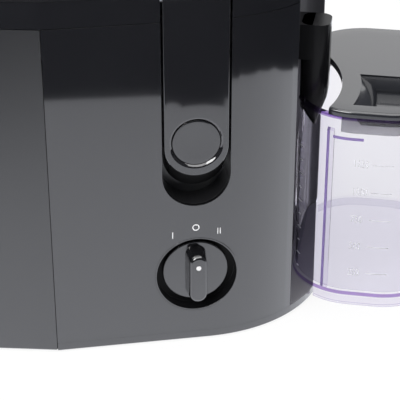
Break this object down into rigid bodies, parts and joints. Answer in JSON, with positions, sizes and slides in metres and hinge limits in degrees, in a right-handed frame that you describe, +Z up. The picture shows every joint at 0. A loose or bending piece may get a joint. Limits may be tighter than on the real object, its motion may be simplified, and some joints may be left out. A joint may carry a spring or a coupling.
{
  "type": "centrifugal juicer",
  "caption": "Centrifugal juicer: round-ended motor housing with dial and latched lid, pulp container on one side, spout and lidded juice jug on the other.",
  "frame": {"origin": "centre of the bounding box, on the table", "axes": "+Z up, +X from the pulp container towards the jug, -Y the face with the dial"},
  "size_m": [0.4436, 0.2056, 0.3894],
  "materials": {
    "gloss_black": "polished, glossy black",
    "satin_black": "fine satin, dark grey-black",
    "dark_plastic": "moulded, fine grain",
    "natural_plastic": "moulded, fine grain",
    "clear_violet": "clear, violet at the edges",
    "smoke_clear": "clear, lightly smoked",
    "rubber": "matt",
    "silicone": "soft grey",
    "steel": "brushed",
    "spring_steel": "bright",
    "iron_stack": "laminated, lightly oiled",
    "copper": "varnished copper",
    "carbon": "pressed carbon",
    "board_green": "coated board",
    "zinc": "cast"
  },
  "bodies": {
    "base_unit": {"motor_housing": "gloss_black", "base_plate": "dark_plastic", "rubber_feet": "rubber", "base_screws": "spring_steel", "motor_deck": "dark_plastic", "cord_gland": "dark_plastic", "upper_motor_bracket": "zinc", "lower_motor_bracket": "zinc", "motor_mount_rubbers": "rubber", "stator_core": "iron_stack", "field_coils": "copper", "brush_holders": "dark_plastic", "carbon_brushes": "carbon", "upper_bearing": "steel", "lower_bearing": "steel", "shaft_seal": "rubber", "juice_collector": "natural_plastic", "spout": "gloss_black", "spout_gasket": "silicone", "front_slot_liner": "satin_black", "rear_slot_liner": "satin_black", "dial_bezel": "gloss_black", "rotary_switch": "dark_plastic", "control_board": "board_green", "safety_switch": "dark_plastic"},
    "rotor": {"motor_shaft": "steel", "armature_core": "iron_stack", "armature_windings": "copper", "commutator": "copper", "cooling_fan": "dark_plastic", "drive_coupling": "dark_plastic", "basket_hub": "natural_plastic", "filter_basket": "steel", "basket_rim": "steel", "grater_disc": "steel"},
    "lid": {"lid": "gloss_black", "lid_seal": "silicone", "feed_chute": "smoke_clear", "latch_pins": "steel"},
    "pusher": {"pusher": "smoke_clear", "pusher_cap": "gloss_black"},
    "front_latch": {"front_latch_arm": "gloss_black", "front_latch_hook": "dark_plastic", "front_button_spring": "spring_steel"},
    "rear_latch": {"rear_latch_arm": "gloss_black", "rear_latch_hook": "dark_plastic", "rear_button_spring": "spring_steel"},
    "front_button": {"front_release_button": "gloss_black"},
    "rear_button": {"rear_release_button": "gloss_black"},
    "dial": {"dial_knob": "gloss_black", "dial_shaft": "dark_plastic"},
    "interlock": {"interlock_plunger": "dark_plastic"},
    "pulp_bin": {"pulp_container": "satin_black"},
    "jug": {"jug_body": "clear_violet", "jug_handle": "dark_plastic"},
    "jug_cover": {"jug_lid": "gloss_black", "foam_separator": "smoke_clear"}
  },
  "joints": [
    {"name": "rotor_spin", "type": "hinge", "parent": "base_unit", "child": "rotor", "pos_m": [0.00017, 0.00075, 0.1], "axis": [0, 0, 1], "continuous": true},
    {"name": "lid_lift", "type": "slide", "parent": "base_unit", "child": "lid", "axis": [0, 0, 1], "range_m": [0, 0.11]},
    {"name": "pusher_lift", "type": "slide", "parent": "lid", "child": "pusher", "axis": [0, 0, 1], "range_m": [0, 0.1]},
    {"name": "front_latch_swing", "type": "hinge", "parent": "lid", "child": "front_latch", "pos_m": [0.00017, -0.08625, 0.234], "axis": [-1, 0, 0], "range_deg": [0, 112]},
    {"name": "rear_latch_swing", "type": "hinge", "parent": "lid", "child": "rear_latch", "pos_m": [0.00017, 0.08775, 0.234], "axis": [1, 0, 0], "range_deg": [0, 112]},
    {"name": "front_button_press", "type": "slide", "parent": "front_latch", "child": "front_button", "axis": [0, 1, 0], "range_m": [0, 0.003], "stiffness_N_per_m": 400, "springref_m": -0.0005, "deforming": ["front_button_spring"]},
    {"name": "rear_button_press", "type": "slide", "parent": "rear_latch", "child": "rear_button", "axis": [0, -1, 0], "range_m": [0, 0.003], "stiffness_N_per_m": 400, "springref_m": -0.0005, "deforming": ["rear_button_spring"]},
    {"name": "dial_turn", "type": "hinge", "parent": "base_unit", "child": "dial", "pos_m": [0.00017, -0.09525, 0.0494], "axis": [0, 1, 0], "range_deg": [-27, 27]},
    {"name": "interlock_rise", "type": "slide", "parent": "base_unit", "child": "interlock", "axis": [0, 0, 1], "range_m": [0, 0.0035]},
    {"name": "pulp_bin_slide", "type": "slide", "parent": "base_unit", "child": "pulp_bin", "axis": [-1, 0, 0], "range_m": [0, 0.14]},
    {"name": "jug_slide", "type": "slide", "parent": "base_unit", "child": "jug", "axis": [0.9421, -0.3355, 0], "range_m": [0, 0.15]},
    {"name": "jug_lid_lift", "type": "slide", "parent": "jug", "child": "jug_cover", "axis": [0, 0, 1], "range_m": [0, 0.12]}
  ],
  "couplings": [
    {"joint": "front_latch_swing", "follows": "lid_lift", "rad_per_m": 17.453},
    {"joint": "rear_latch_swing", "follows": "lid_lift", "rad_per_m": 17.453},
    {"joint": "interlock_rise", "follows": "lid_lift", "ratio": 0.03}
  ]
}
